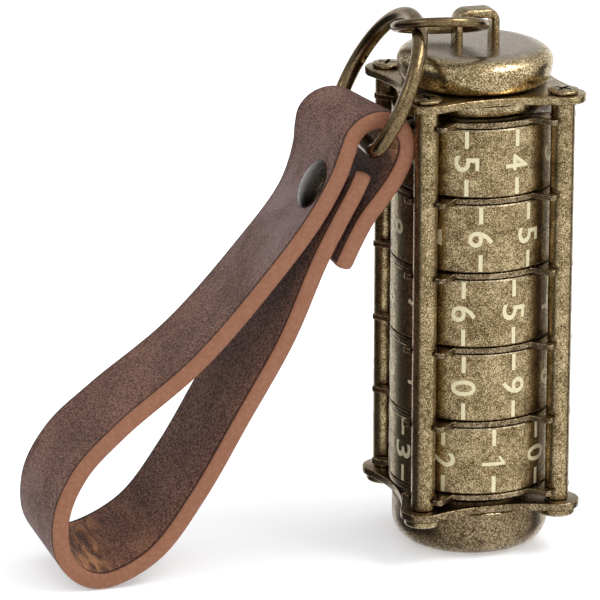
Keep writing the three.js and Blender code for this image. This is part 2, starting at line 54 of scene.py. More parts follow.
# Driving dimensions, as in the CAD source
DIAL_COUNT = 5
DIAL_RADIUS = 12.05
DIAL_BORE = 10.4
DIAL_LIP = 0.35
POST_CIRCLE = 14.5
POST_RADIUS = 1.75
CORNER_RADIUS = 3.3
PLATE_WAIST = 11.5
SLEEVE_RADIUS = 7.7
GAP = 0.15
FOOT_RADIUS = 11.55
FOOT_FLAT_RADIUS = 8.5
FOOT_SHOULDER = 3.7
COLLAR_RADIUS = 9.5
TOP_COLLAR_FLARE = 1.9
KNOB_RADIUS = 11.4
KNOB_FLAT_RADIUS = 7.7
KNOB_UNDERSIDE = 10.05
KNOB_WAIST_Z = 73.1
CARRIER_RADIUS = 6.6
CARRIER_BORE = 5.7
CARRIER_POCKET = 1.8  # how deep the carrier stands in the knob
CAP_FLOOR = 1.7
CORNERS = [math.radians(45 + 90 * i) for i in range(4)]

# Camera
CAMERA_PLACE = (-0.2173077, -0.7109062, 0.2704378)
CAMERA_TURN = Vector((-1.2575100, 0.1675885, 0.2245267))  # the scene's turn, seen from the camera
CAMERA_LENS = 317.769
FACING = math.radians(253)  # from the axis to the camera, seen from above


def make_camera():
    data = bpy.data.cameras.new("camera")
    data.lens = CAMERA_LENS
    data.sensor_width = 36
    data.clip_start, data.clip_end = 0.01, 50
    camera = bpy.data.objects.new("camera", data)
    bpy.context.scene.collection.objects.link(camera)
    camera.location = CAMERA_PLACE
    camera.rotation_mode = "QUATERNION"
    turn = Quaternion(CAMERA_TURN.normalized(), CAMERA_TURN.length)
    camera.rotation_quaternion = turn.inverted()
    bpy.context.scene.camera = camera


make_camera()


# Shader nodes


def node(tree, kind, settings=None, **inputs):
    """A shader node, its settings and its inputs; an input is a value or another node's output."""
    made = tree.nodes.new("ShaderNode" + kind)
    for key, value in (settings or {}).items():
        setattr(made, key, value)
    for key, value in inputs.items():
        feed(tree, made.inputs[key.replace("_", " ")], value)
    return made


def feed(tree, socket, value):
    if isinstance(value, bpy.types.NodeSocket):
        tree.links.new(value, socket)
    elif isinstance(value, tuple) and len(value) == 3 and socket.type == "RGBA":
        socket.default_value = (*value, 1)
    else:
        socket.default_value = value


def sums(tree, operation, *values):
    made = tree.nodes.new("ShaderNodeMath")
    made.operation = operation
    for socket, value in zip(made.inputs, values):
        feed(tree, socket, value)
    return made.outputs[0]


def spread(tree, value, low, high, to_low=0.0, to_high=1.0, smooth=False):
    """The value, with its range from low to high stretched to another range."""
    made = node(tree, "MapRange", {"interpolation_type": "SMOOTHSTEP" if smooth else "LINEAR"})
    for name, given in zip(
        ("Value", "From Min", "From Max", "To Min", "To Max"),
        (value, low, high, to_low, to_high),
    ):
        feed(tree, made.inputs[name], given)
    return made.outputs["Result"]


def ramp(tree, value, stops):
    """A colour for each value, between stops that give a place and a colour or a grey."""
    made = node(tree, "ValToRGB", Fac=value)
    slots = made.color_ramp.elements
    while len(slots) < len(stops):
        slots.new(0.5)
    for slot, (place, colour) in zip(slots, stops):
        slot.position = place
        slot.color = (*colour, 1) if isinstance(colour, tuple) else (colour,) * 3 + (1,)
    return made.outputs["Color"]


def blend(tree, share, a, b):
    """Colour a, with a share of colour b over it."""
    made = node(tree, "Mix", {"data_type": "RGBA"})
    feed(tree, made.inputs[0], share)
    feed(tree, made.inputs[6], a)
    feed(tree, made.inputs[7], b)
    return made.outputs[2]


def noise(tree, place, scale, detail=2.0, roughness=0.5, distortion=0.0):
    made = node(
        tree,
        "TexNoise",
        Vector=place,
        Scale=scale,
        Detail=detail,
        Roughness=roughness,
        Distortion=distortion,
    )
    return made.outputs["Fac"]


def new_material(name):
    material = bpy.data.materials.new(name)
    material.use_nodes = True
    tree = material.node_tree
    tree.nodes.clear()
    shader = tree.nodes.new("ShaderNodeBsdfPrincipled")
    output = tree.nodes.new("ShaderNodeOutputMaterial")
    tree.links.new(shader.outputs[0], output.inputs[0])
    place = tree.nodes.new("ShaderNodeTexCoord").outputs["Object"]
    return material, tree, shader, place


def bump(tree, shader, height, strength, distance):
    made = node(tree, "Bump", Height=height, Strength=strength, Distance=distance)
    tree.links.new(made.outputs[0], shader.inputs["Normal"])


def brass(name, shades, grain=5800, rough=(0.2, 0.4), relief=0.35, top_sheen=0):
    """Antique brass: bright metal rubbed through a dark finish, in fine grains.

    The last argument is the share of a painted highlight on a face that looks up: a lighter, greyer,
    even colour in place of the grains.
    """
    material, tree, shader, place = new_material(name)
    dark, middle, bright = shades
    fine = noise(tree, place, grain, 3, 0.78)
    cloud = noise(tree, place, 300, 5, 0.62)
    stain = noise(tree, place, 1100, 3, 0.65, 0.6)
    worn = sums(tree, "ADD", fine, spread(tree, cloud, 0.3, 0.7, -0.045, 0.045))
    worn = sums(tree, "ADD", worn, spread(tree, stain, 0.3, 0.7, -0.05, 0.05))
    colour = ramp(tree, worn, [(0.39, dark), (0.5, middle), (0.61, bright)])
    if top_sheen:
        facing = tree.nodes.new("ShaderNodeNewGeometry").outputs["Normal"]
        up = node(tree, "SeparateXYZ", Vector=facing).outputs["Z"]
        share = spread(tree, up, 0.86, 0.99, 0, top_sheen, smooth=True)
        # Painted highlight: faces that look up take a lighter, greyer colour, as if lit from above
        painted_top = ramp(tree, stain, [(0.3, PAINTED_TOP_SHEEN_DARK), (0.7, PAINTED_TOP_SHEEN)])
        colour = blend(tree, share, colour, painted_top)
    feed(tree, shader.inputs["Base Color"], colour)
    feed(tree, shader.inputs["Roughness"], spread(tree, worn, 0.35, 0.65, rough[1], rough[0]))
    shader.inputs["Metallic"].default_value = 1
    bump(tree, shader, worn, relief, 0.00004)
    return material


def mesh_value(tree, name):
    return node(tree, "Attribute", {"attribute_name": name}).outputs["Fac"]


def wrinkles(tree, colour, height, dark):
    """Colour and height with wrinkles across the strap, where the mesh says that it bends; the
    hollows between wrinkles are darkened as painted shade.
    """
    bend = mesh_value(tree, "bend")
    narrowed = sums(tree, "MULTIPLY", mesh_value(tree, "across"), 0.25)
    lane = node(tree, "CombineXYZ", X=mesh_value(tree, "along"), Y=narrowed).outputs[0]
    folds = noise(tree, lane, 620, 3, 0.55, 0.8)
    lines = spread(tree, folds, 0.45, 0.6, smooth=True)
    tan = sums(tree, "MULTIPLY", spread(tree, lines, 0, 1, 0.25, 0.8), bend)
    colour = blend(tree, tan, colour, WORN_TAN)
    # Painted shade: the hollows between the wrinkles get darker
    crease_shade = sums(tree, "MULTIPLY", spread(tree, folds, 0.46, 0.38, smooth=True), bend)
    colour = blend(tree, sums(tree, "MULTIPLY", crease_shade, 0.7), colour, dark)
    ridges = sums(tree, "MULTIPLY", lines, sums(tree, "MULTIPLY", bend, 1.6))
    return colour, sums(tree, "ADD", height, ridges)


def leather(name, shades, grain, relief, rough=0.5, sheen=0.04, creased=False, painted_sheen=False):
    """Finished leather: small pebbles, soft clouds of tone, a painted grey sheen, wrinkles at a
    bend.
    """
    material, tree, shader, place = new_material(name)
    dark, middle, bright = shades
    cells = node(tree, "TexVoronoi", Vector=place, Scale=grain, Randomness=1.0)
    pebble = spread(tree, cells.outputs["Distance"], 0.75, 0.1, 0, 0.5)
    fine = noise(tree, place, grain * 1.1, 2, 0.6)
    cloud = noise(tree, place, 130, 4, 0.55, 0.4)
    height = sums(tree, "ADD", pebble, sums(tree, "MULTIPLY", fine, 0.6))
    tone = sums(tree, "ADD", height, spread(tree, cloud, 0.25, 0.75, -0.12, 0.12))
    colour = ramp(tree, tone, [(0.34, dark), (0.54, middle), (0.74, bright)])
    if creased:
        colour, height = wrinkles(tree, colour, height, dark)
    # Painted sheen: a grey haze where light glances off the leather near the fold and the low bend
    if painted_sheen:
        patches = spread(tree, cloud, 0.35, 0.6, 0.2, 0.75)
        haze = sums(tree, "MULTIPLY", patches, mesh_value(tree, "painted_sheen_mask"))
        colour = blend(tree, haze, colour, PAINTED_SHEEN)
    feed(tree, shader.inputs["Base Color"], colour)
    shine = spread(tree, tone, 0.4, 0.9, rough + 0.1, rough - 0.08)
    feed(tree, shader.inputs["Roughness"], shine)
    shader.inputs["Specular IOR Level"].default_value = 0.28
    shader.inputs["Sheen Weight"].default_value = sheen
    shader.inputs["Sheen Roughness"].default_value = 0.45
    shader.inputs["Sheen Tint"].default_value = (0.8, 0.7, 0.8, 1)
    bump(tree, shader, height, relief, 0.0002)
    return material


def plain(name, dark, bright, grain, rough, metal=0.0, relief=0.15):
    """An even finish with a fine grain."""
    material, tree, shader, place = new_material(name)
    fine = noise(tree, place, grain, 3, 0.6)
    feed(tree, shader.inputs["Base Color"], ramp(tree, fine, [(0.35, dark), (0.65, bright)]))
    feed(tree, shader.inputs["Roughness"], spread(tree, fine, 0.3, 0.7, rough - 0.06, rough + 0.1))
    shader.inputs["Metallic"].default_value = metal
    bump(tree, shader, fine, relief, 0.00003)
    return material


# Lighter, greyer colours painted on faces that look up, as a highlight
PAINTED_TOP_SHEEN = (0.46, 0.385, 0.3)
PAINTED_TOP_SHEEN_DARK = (0.34, 0.28, 0.21)
# Grey of the painted sheen on the leather
PAINTED_SHEEN = (0.2, 0.135, 0.135)
WORN_TAN = (0.6, 0.29, 0.13)
SHADES = {  # dark, middle and bright
    "brass": ((0.075, 0.046, 0.022), (0.27, 0.19, 0.088), (0.74, 0.6, 0.355)),
    # low: a darker copy of brass, painted shade on the foot and bottom plate
    "low": ((0.075, 0.048, 0.025), (0.2, 0.14, 0.075), (0.5, 0.39, 0.24)),
    "knob": ((0.12, 0.078, 0.034), (0.36, 0.26, 0.12), (0.95, 0.8, 0.5)),
    "dark": ((0.05, 0.03, 0.016), (0.17, 0.115, 0.06), (0.6, 0.48, 0.3)),
    "ring": ((0.12, 0.078, 0.037), (0.2, 0.14, 0.07), (0.34, 0.26, 0.145)),
    # edge: lighter shades for bevels and rims, painted edge highlights
    "edge": ((0.18, 0.13, 0.07), (0.38, 0.3, 0.18), (0.72, 0.61, 0.42)),
    # low_edge: the painted edge highlight, darkened as painted shade for the foot
    "low_edge": ((0.13, 0.09, 0.05), (0.28, 0.215, 0.13), (0.55, 0.45, 0.3)),
    "recess": ((0.012, 0.008, 0.005), (0.03, 0.02, 0.012), (0.1, 0.07, 0.04)),
    "bronze": ((0.022, 0.016, 0.011), (0.038, 0.028, 0.02), (0.075, 0.058, 0.042)),
    "leather": ((0.06, 0.022, 0.011), (0.148, 0.058, 0.031), (0.265, 0.122, 0.073)),
    "inside": ((0.075, 0.03, 0.018), (0.185, 0.079, 0.048), (0.3, 0.145, 0.095)),
    "paint": ((0.26, 0.108, 0.058), (0.278, 0.118, 0.063), (0.295, 0.13, 0.072)),
    "crease": ((0.045, 0.02, 0.012), (0.08, 0.035, 0.02), (0.12, 0.055, 0.03)),
}
# Grain, roughness and relief of the painted edge highlights
EDGE_HIGHLIGHT_TEXTURE = {"grain": 3400, "rough": (0.16, 0.3), "relief": 0.2}

M = {
    "brass": brass("antique_brass", SHADES["brass"]),
    # Darker copy of brass: painted shade on the foot and bottom plate
    "low": brass("shaded_foot_brass", SHADES["low"], 4400),
    # The knob's faces that look up carry the painted top highlight
    "knob": brass("knob_brass", SHADES["knob"], 4200, (0.17, 0.32), top_sheen=0.92),
    "dark": brass("dark_brass", SHADES["dark"]),
    "ring": brass("ring_brass", SHADES["ring"], 5200, (0.12, 0.26), 0.2),
    # Bevels and rims painted lighter as edge highlights
    "edge": brass("painted_edge_highlight", SHADES["edge"], **EDGE_HIGHLIGHT_TEXTURE),
    # Foot edges: the painted edge highlight, darkened as painted shade
    "low_edge": brass("shaded_foot_edge_highlight", SHADES["low_edge"], **EDGE_HIGHLIGHT_TEXTURE),
    "recess": brass("dark_recess", SHADES["recess"]),
    "digit": plain("pale_gold", (0.72, 0.64, 0.4), (0.88, 0.81, 0.56), 5000, 0.42, 0.6),
    "bronze": brass("rivet_bronze", SHADES["bronze"], 1500, (0.18, 0.3), 0.08),
    "leather": leather("strap_leather", SHADES["leather"], 3000, 1, painted_sheen=True),
    "inside": leather("strap_inside", SHADES["inside"], 2800, 1, 0.56, creased=True),
    "paint": leather("edge_paint", SHADES["paint"], 1400, 0.05, 0.46),
    "crease": leather("edge_crease", SHADES["crease"], 3000, 0.2, 0.6, 0),
    "steel": plain("steel", (0.42, 0.43, 0.44), (0.66, 0.67, 0.68), 2400, 0.26, 1.0, 0.06),
    "plastic": plain("black_plastic", (0.012, 0.012, 0.014), (0.035, 0.035, 0.038), 4200, 0.45),
    "board": plain("board", (0.012, 0.07, 0.03), (0.03, 0.13, 0.06), 3000, 0.4),
}


# Mesh helpers


def mesh_of(name, points, faces, tints, palette, smooth_angle=32):
    mesh = bpy.data.meshes.new(name)
    mesh.from_pydata([tuple(c * MM for c in p) for p in points], [], faces)
    mesh.validate()
    for key in palette:
        mesh.materials.append(M[key])
    mesh.polygons.foreach_set("material_index", tints)
    mesh.polygons.foreach_set("use_smooth", [True] * len(mesh.polygons))
    mesh.update()
    mesh.set_sharp_from_angle(angle=math.radians(smooth_angle))
    return mesh


def piece(name, mesh, body, slot, *replaced):
    """Puts a mesh in the scene, riding on a body and standing for the CAD nodes it replaces."""
    made = bpy.data.objects.new(name, mesh)
    bpy.context.scene.collection.objects.link(made)
    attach(made, body)
    if replaced:
        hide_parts(*replaced)
    return made


def curve_arc(centre, reach, start, end, steps):
    """Points of an ellipse's arc, start and end in degrees."""
    angles = [math.radians(start + (end - start) * i / steps) for i in range(steps + 1)]
    return [
        (centre[0] + reach[0] * math.cos(a), centre[1] + reach[1] * math.sin(a)) for a in angles
    ]


def lathe(profile, steps, closed=True, at=(0, 0), edges=()):
    """Points, faces and tints of a turned shape; a stretch listed in edges gets tint 1."""
    points, faces, tints, rows = [], [], [], []
    for radius, z in profile:
        count = 1 if radius < 1e-6 else steps
        rows.append([len(points) + i for i in range(count)])
        for i in range(count):
            a = TAU * i / steps
            points.append((at[0] + radius * math.cos(a), at[1] + radius * math.sin(a), z))
    pairs = list(zip(rows, rows[1:]))
    if closed:
        pairs.append((rows[-1], rows[0]))
    for k, (low, high) in enumerate(pairs):
        for i in range(steps):
            j = (i + 1) % steps
            ring = [low[i % len(low)], low[j % len(low)], high[j % len(high)], high[i % len(high)]]
            face = list(dict.fromkeys(ring))
            if len(face) > 2:
                faces.append(face)
                tints.append(1 if k in edges else 0)
    return points, faces, tints


def rounded(profile, radius, steps=3, closed=True):
    """The profile with its corners rounded, and the list of stretches that the roundings make."""
    made, edges = [], []
    count = len(profile)
    for i, corner in enumerate(profile):
        if not closed and i in (0, count - 1):
            made.append(corner)
            continue
        before, after = profile[i - 1], profile[(i + 1) % count]
        here = Vector(corner)
        back, on = Vector(before) - here, Vector(after) - here
        reach = min(radius, back.length * 0.45, on.length * 0.45)
        start, end = here + back.normalized() * reach, here + on.normalized() * reach
        for k in range(steps + 1):
            t = k / steps
            made.append(tuple(start * (1 - t) ** 2 + here * 2 * t * (1 - t) + end * t * t))
            if k < steps:
                edges.append(len(made) - 1)
    return made, edges


def boxed(node_name):
    """Lowest and highest corner of a CAD node."""
    low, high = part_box(node_name)
    return low / MM, high / MM


def slab_mesh(name, outline, holes, bottom, thickness, bevel, palette, standing=False, rings=2):
    """A flat plate with bevelled rims, which get tint 1; a standing one is upright, facing Y."""
    curve = bpy.data.curves.new(name, "CURVE")
    curve.dimensions = "2D"
    curve.fill_mode = "BOTH"
    curve.extrude = thickness * MM / 2 - bevel * MM
    curve.bevel_depth = bevel * MM
    curve.bevel_resolution = rings
    curve.offset = -bevel * MM
    for loop in [outline, *holes]:
        spline = curve.splines.new("POLY")
        spline.points.add(len(loop) - 1)
        for point, (x, y) in zip(spline.points, loop):
            point.co = (x * MM, y * MM, 0, 1)
        spline.use_cyclic_u = True
    carrier = bpy.data.objects.new(name, curve)
    bpy.context.scene.collection.objects.link(carrier)
    depsgraph = bpy.context.evaluated_depsgraph_get()
    mesh = bpy.data.meshes.new_from_object(carrier.evaluated_get(depsgraph))
    bpy.data.objects.remove(carrier)
    bpy.data.curves.remove(curve)
    work = bmesh.new()
    work.from_mesh(mesh)
    bmesh.ops.remove_doubles(work, verts=work.verts, dist=0.002 * MM)
    bmesh.ops.recalc_face_normals(work, faces=work.faces)
    for face in work.faces:
        face.smooth = True
        # Bevel faces take tint 1, the painted edge highlight
        face.material_index = 1 if 0.25 < abs(face.normal.z) < 0.97 else 0
    work.to_mesh(mesh)
    work.free()
    if standing:
        mesh.transform(Matrix.Rotation(math.pi / 2, 4, "X"))
    mesh.transform(Matrix.Translation((0, 0, 0 if standing else (bottom + thickness / 2) * MM)))
    mesh.materials.clear()
    for key in palette:
        mesh.materials.append(M[key])
    mesh.name = name
    mesh.set_sharp_from_angle(angle=math.radians(50))
    return mesh


# Cage


def circle(radius, steps):
    turns = [TAU * i / steps for i in range(steps)]
    return [(radius * math.cos(a), radius * math.sin(a)) for a in turns]


def plate_outline():
    """Round corners joined by hollow arcs that touch them smoothly."""
    reach = POST_CIRCLE / math.sqrt(2)
    step = PLATE_WAIST - reach
    hollow = (reach**2 + step**2 - CORNER_RADIUS**2) / (2 * (CORNER_RADIUS - step))
    centre = PLATE_WAIST + hollow
    lean = math.degrees(math.atan2(reach, centre - reach))
    outline = []
    for side in range(4):
        turn = 90 * side
        corner = math.radians(turn + 45)
        at = (POST_CIRCLE * math.cos(corner), POST_CIRCLE * math.sin(corner))
        outline += curve_arc(at, (CORNER_RADIUS,) * 2, turn - lean, turn + 90 + lean, 28)
        middle = math.radians(turn + 90)
        dent = (centre * math.cos(middle), centre * math.sin(middle))
        start = turn + 270
        outline += curve_arc(dent, (hollow,) * 2, start + lean, start - lean, 24)[1:-1]
    return outline


PLATE_BEVEL = 0.16
POST_ROUND = 0.22


def make_plates():
    outline = plate_outline()
    hole = circle(SLEEVE_RADIUS + GAP, 72)
    # The bottom plate takes the darker copy of brass, as painted shade
    for name, finish in (("top_plate", ["brass", "edge"]), ("bottom_plate", ["low", "low_edge"])):
        low, high = boxed(name)
        thickness = high.z - low.z
        mesh = slab_mesh(name + "_shown", outline, [hole], low.z, thickness, PLATE_BEVEL, finish)
        piece(name + "_shown", mesh, "cage", "antique_brass", name)


def make_posts():
    for i, angle in enumerate(CORNERS):
        at = (POST_CIRCLE * math.cos(angle), POST_CIRCLE * math.sin(angle))
        low, high = boxed(f"post_{i + 1}")
        profile = [(0, low.z), (POST_RADIUS, low.z), (POST_RADIUS, high.z), (0, high.z)]
        shape = rounded(profile, POST_ROUND, closed=False)[0]
        mesh = mesh_of(f"post_{i + 1}_shown", *lathe(shape, 48, False, at), ["brass"])
        piece(f"post_{i + 1}_shown", mesh, "cage", "antique_brass", f"post_{i + 1}")


SCREW_HEAD = 0.6  # height of a top screw's head
SCREW_RADIUS = 2.25
SCREW_TURNS = [20, 62, 8, 41]  # degrees
SLOT_LENGTH = 2.6
SLOT_WIDTH = 0.5
SLOT_DEPTH = 0.42
DISC_RADIUS = 2.7  # a bottom screw's head
DISC_HEIGHT = 1.0
DISC_ROUND = 0.35
DISC_CHAMFER = 0.12


def screw_mesh():
    """A flat head with a rim, a fine groove and a cross recess, its seat at height 0."""
    top, rim = SCREW_HEAD, SCREW_RADIUS
    profile = [(0, 0), (rim - 0.13, 0), (rim, 0.1), (rim, top - 0.24), (rim - 0.07, top - 0.16)]
    profile += [(rim - 0.25, top - 0.13), (rim - 0.33, top - 0.16), (rim - 0.41, top - 0.1)]
    profile += [(rim - 0.65, top - 0.02), (0, top)]
    head = mesh_of("screw_head", *lathe(profile, 48, False), ["brass", "recess"])
    holder = bpy.data.objects.new("screw_head", head)
    bpy.context.scene.collection.objects.link(holder)
    tools = []
    for turn in (0, math.pi / 2):
        slot = bpy.data.meshes.new("slot")
        work = bmesh.new()
        bmesh.ops.create_cube(work, size=1)
        size = Matrix.Diagonal((SLOT_LENGTH * MM, SLOT_WIDTH * MM, 2 * SLOT_DEPTH * MM, 1))
        place = Matrix.Translation((0, 0, SCREW_HEAD * MM)) @ Matrix.Rotation(turn, 4, "Z")
        bmesh.ops.transform(work, matrix=place @ size, verts=work.verts)
        work.to_mesh(slot)
        work.free()
        slot.materials.append(M["recess"])
        tool = bpy.data.objects.new("slot", slot)
        bpy.context.scene.collection.objects.link(tool)
        tools.append(tool)
        cutting = holder.modifiers.new("slot", "BOOLEAN")
        cutting.object = tool
        cutting.operation = "DIFFERENCE"
        cutting.solver = "EXACT"
        cutting.material_mode = "TRANSFER"
    depsgraph = bpy.context.evaluated_depsgraph_get()
    mesh = bpy.data.meshes.new_from_object(holder.evaluated_get(depsgraph))
    for thing in [holder, *tools]:
        bpy.data.objects.remove(thing)
    return mesh


def make_screws():
    head = screw_mesh()
    for i, angle in enumerate(CORNERS):
        at = Vector((POST_CIRCLE * math.cos(angle), POST_CIRCLE * math.sin(angle), 0))
        seat = boxed(f"top_screw_{i + 1}")[1].z - SCREW_HEAD
        mesh = head.copy()
        lean = Matrix.Rotation(math.radians(SCREW_TURNS[i]), 4, "Z")
        mesh.transform(Matrix.Translation((at + Vector((0, 0, seat))) * MM) @ lean)
        mesh.name = f"top_screw_{i + 1}_shown"
        piece(mesh.name, mesh, "cage", "antique_brass", f"top_screw_{i + 1}")
        bottom = boxed(f"bottom_screw_{i + 1}")[0].z
        top, rim = bottom + DISC_HEIGHT, DISC_RADIUS
        turn = (rim - DISC_ROUND, bottom + DISC_ROUND)
        profile = [(0, bottom), (rim - DISC_ROUND, bottom)]
        profile += curve_arc(turn, (DISC_ROUND,) * 2, -90, 0, 5)[1:]
        profile += [(rim, top - DISC_CHAMFER), (rim - DISC_CHAMFER, top), (0, top)]
        # The rounded rim and chamfer take the painted edge highlight
        shape = lathe(profile, 48, False, (at.x, at.y), (1, 2, 3, 4, 5, 7))
        mesh = mesh_of(f"bottom_screw_{i + 1}_shown", *shape, ["brass", "edge"])
        piece(mesh.name, mesh, "cage", "antique_brass", f"bottom_screw_{i + 1}")


EAR_HALF_WIDTH = 3.4
EAR_REACH = 15.1
EAR_ROUND = 0.7
FORK_RADIUS = POST_RADIUS + 0.25
SEPARATOR_BEVEL = 0.12


def separator_outline():
    """A disc with an ear at each corner, and in each ear a fork round the post."""
    half, reach, fork, turn = EAR_HALF_WIDTH, EAR_REACH, FORK_RADIUS, EAR_ROUND
    root = math.asin(half / DIAL_RADIUS)
    root_degrees = math.degrees(root)
    ear = [(DIAL_RADIUS * math.cos(root), -half)]
    ear += curve_arc((reach - turn, turn - half), (turn, turn), -90, 0, 5)
    ear += [(reach, -fork)]
    ear += curve_arc((POST_CIRCLE, 0), (fork, fork), -90, -270, 18)
    ear += [(reach, fork)]
    ear += curve_arc((reach - turn, half - turn), (turn, turn), 0, 90, 5)
    outline = []
    for corner in CORNERS:
        outline += [tuple(Matrix.Rotation(corner, 2) @ Vector(p)) for p in ear]
        start = math.degrees(corner) + root_degrees
        end = math.degrees(corner) + 90 - root_degrees
        outline += curve_arc((0, 0), (DIAL_RADIUS,) * 2, start, end, 24)[:-1]
    return outline


def make_separators():
    outline = separator_outline()
    hole = circle(SLEEVE_RADIUS + GAP, 72)
    # Separator rims take the painted edge highlight
    finish = ["dark", "edge"]
    for i in range(DIAL_COUNT + 1):
        name = f"separator_{i + 1}"
        low, high = boxed(name)
        thickness = high.z - low.z
        mesh = slab_mesh(name + "_shown", outline, [hole], low.z, thickness, SEPARATOR_BEVEL, finish)
        piece(name + "_shown", mesh, "cage", "dark_brass", name)


FOOT_CHAMFER = 0.2
COLLAR_ROUND = 0.12
COLLAR_CLEARANCE = 0.25  # to the sleeve
FLARE_START = 0.35  # height where the flare leaves the neck
FLARE_END = 0.5
COLLAR_LIP = 0.3


def make_foot():
    top = boxed("bottom_cap")[1].z
    rim, cavity, chamfer = FOOT_RADIUS, SLEEVE_RADIUS + GAP, FOOT_CHAMFER
    turn = (rim - FOOT_FLAT_RADIUS, FOOT_SHOULDER)
    profile = [(0, 0)]
    profile += curve_arc((FOOT_FLAT_RADIUS, FOOT_SHOULDER), turn, -90, 0, 20)
    profile += [(rim, top - chamfer), (rim - chamfer, top)]
    profile += [(cavity, top), (cavity, CAP_FLOOR), (0, CAP_FLOOR)]
    # The foot takes the darker copy of brass, as painted shade
    mesh = mesh_of("foot", *lathe(profile, 128, False), ["low"])
    piece("foot", mesh, "cage", "antique_brass", "bottom_cap")


def make_collars():
    neck, inner = COLLAR_RADIUS, SLEEVE_RADIUS + COLLAR_CLEARANCE
    # The top collar takes the knob's lighter brass, painted light that brightens it under the
    # plate's overhang
    collars = (("bottom_collar", 0, "dark"), ("top_collar", TOP_COLLAR_FLARE, "knob"))
    for name, flare, finish in collars:
        low, high = boxed(name)
        rim = neck + flare
        profile = [(inner, low.z), (neck, low.z)]
        if flare:
            profile += [(neck, low.z + FLARE_START), (rim - FLARE_START, low.z + FLARE_END)]
        profile += [(rim, high.z - COLLAR_LIP), (rim, high.z), (inner, high.z)]
        shape, edges = rounded(profile, COLLAR_ROUND)
        mesh = mesh_of(name + "_shown", *lathe(shape, 112, edges=edges), [finish, "edge"])
        piece(name + "_shown", mesh, "cage", "dark_brass", name)


# Dials

DIAL_RIM = 0.28  # height of the rim at each end, painted lighter as an edge highlight
DIAL_STEP = 0.12
DIGIT_LENGTH = 3.6  # round the dial: the digits lie on their sides
DIGIT_WIDTH = 2.4
DIGIT_LIFT = 0.035
DASH_WIDTH = 0.58
DASH_LENGTH = 2.5
DASH_MARGIN = 0.3
DIAL_STARTS = [(2, -19.1), (0, -5.1), (6, -5.7), (6, 5.6), (5, -4.7)]  # front digit, degrees off
GLYPH_STROKE = 0.01  # how far the outline moves out, on type of size 1
# Outline of the digit 1, across and up from its middle
ONE = [(0.2, -1.8), (0.7, -1.8), (0.7, 1.72), (0.45, 1.8), (-0.75, 1), (-0.6, 0.65), (0.2, 1.15)]
BEND_STEP = 0.25  # a mark is cut this often, so that it bends smoothly
BEND_CUTS = 8


def one_mesh():
    """The digit 1, a stem with a slanting flag, laid like the other digits."""
    work = bmesh.new()
    flat = work.faces.new([work.verts.new((tall, -wide, -0.5)) for wide, tall in ONE])
    raised = bmesh.ops.extrude_face_region(work, geom=[flat], use_keep_orig=True)["geom"]
    lifted = [part for part in raised if isinstance(part, bmesh.types.BMVert)]
    bmesh.ops.translate(work, vec=(0, 0, 1), verts=lifted)
    bmesh.ops.triangulate(work, faces=work.faces)
    bmesh.ops.recalc_face_normals(work, faces=work.faces)
    mesh = bpy.data.meshes.new("digit")
    work.to_mesh(mesh)
    work.free()
    return mesh


def glyph_mesh(digit):
    """A digit as a centred mesh 1 thick, its height along +X and its width along -Y."""
    if digit == 1:
        return one_mesh()
    curve = bpy.data.curves.new("digit", "FONT")
    curve.body = str(digit)
    curve.size = 1
    curve.resolution_u = 6
    curve.offset = GLYPH_STROKE
    curve.extrude = 0.5
    carrier = bpy.data.objects.new("digit", curve)
    bpy.context.scene.collection.objects.link(carrier)
    depsgraph = bpy.context.evaluated_depsgraph_get()
    mesh = bpy.data.meshes.new_from_object(carrier.evaluated_get(depsgraph))
    bpy.data.objects.remove(carrier)
    bpy.data.curves.remove(curve)
    points = np.array([v.co for v in mesh.vertices])
    low, high = points.min(0), points.max(0)
    tall, wide = high[1] - low[1], high[0] - low[0]
    middle = Vector((low + high) / 2)
    for vertex in mesh.vertices:
        x, y, z = vertex.co - middle
        vertex.co = (y / tall * DIGIT_LENGTH, -x / wide * DIGIT_WIDTH, z)
    return mesh


def wrapped(flat, angle, z):
    """A flat mesh, x round the dial and y up it, as a bmesh bent on to the dial's face."""
    work = bmesh.new()
    work.from_mesh(flat)
    for cut in range(-BEND_CUTS, BEND_CUTS + 1):
        bmesh.ops.bisect_plane(
            work,
            geom=work.verts[:] + work.edges[:] + work.faces[:],
            plane_co=(cut * BEND_STEP, 0, 0),
            plane_no=(1, 0, 0),
            dist=1e-5,
        )
    for vertex in work.verts:
        x, y, lift = vertex.co
        radius = DIAL_RADIUS + lift * 2 * DIGIT_LIFT
        a = angle + x / DIAL_RADIUS
        vertex.co = (radius * math.cos(a) * MM, radius * math.sin(a) * MM, (z + y) * MM)
    return work


def dash_mesh():
    dash = bpy.data.meshes.new("dash")
    work = bmesh.new()
    bmesh.ops.create_cube(work, size=1)
    bmesh.ops.scale(work, vec=(DASH_WIDTH, DASH_LENGTH, 1), verts=work.verts)
    work.to_mesh(dash)
    work.free()
    return dash


def engraving_mesh(name, start, middle, reach, glyphs, dash):
    """Ten digits counting down round the dial, each with a dash above and below it."""
    first, offset = start
    everything = bmesh.new()
    for step in range(10):
        angle = FACING + math.radians(offset + 36 * step)
        digit = glyphs[(first - step) % 10]
        for flat, z in ((digit, middle), (dash, middle - reach), (dash, middle + reach)):
            work = wrapped(flat, angle, z)
            bent = bpy.data.meshes.new("bent")
            work.to_mesh(bent)
            work.free()
            everything.from_mesh(bent)
            bpy.data.meshes.remove(bent)
    bmesh.ops.remove_doubles(everything, verts=everything.verts, dist=0.001 * MM)
    bmesh.ops.recalc_face_normals(everything, faces=everything.faces)
    mesh = bpy.data.meshes.new(name)
    everything.to_mesh(mesh)
    everything.free()
    mesh.materials.clear()
    mesh.materials.append(M["digit"])
    mesh.polygons.foreach_set("material_index", [0] * len(mesh.polygons))
    return mesh


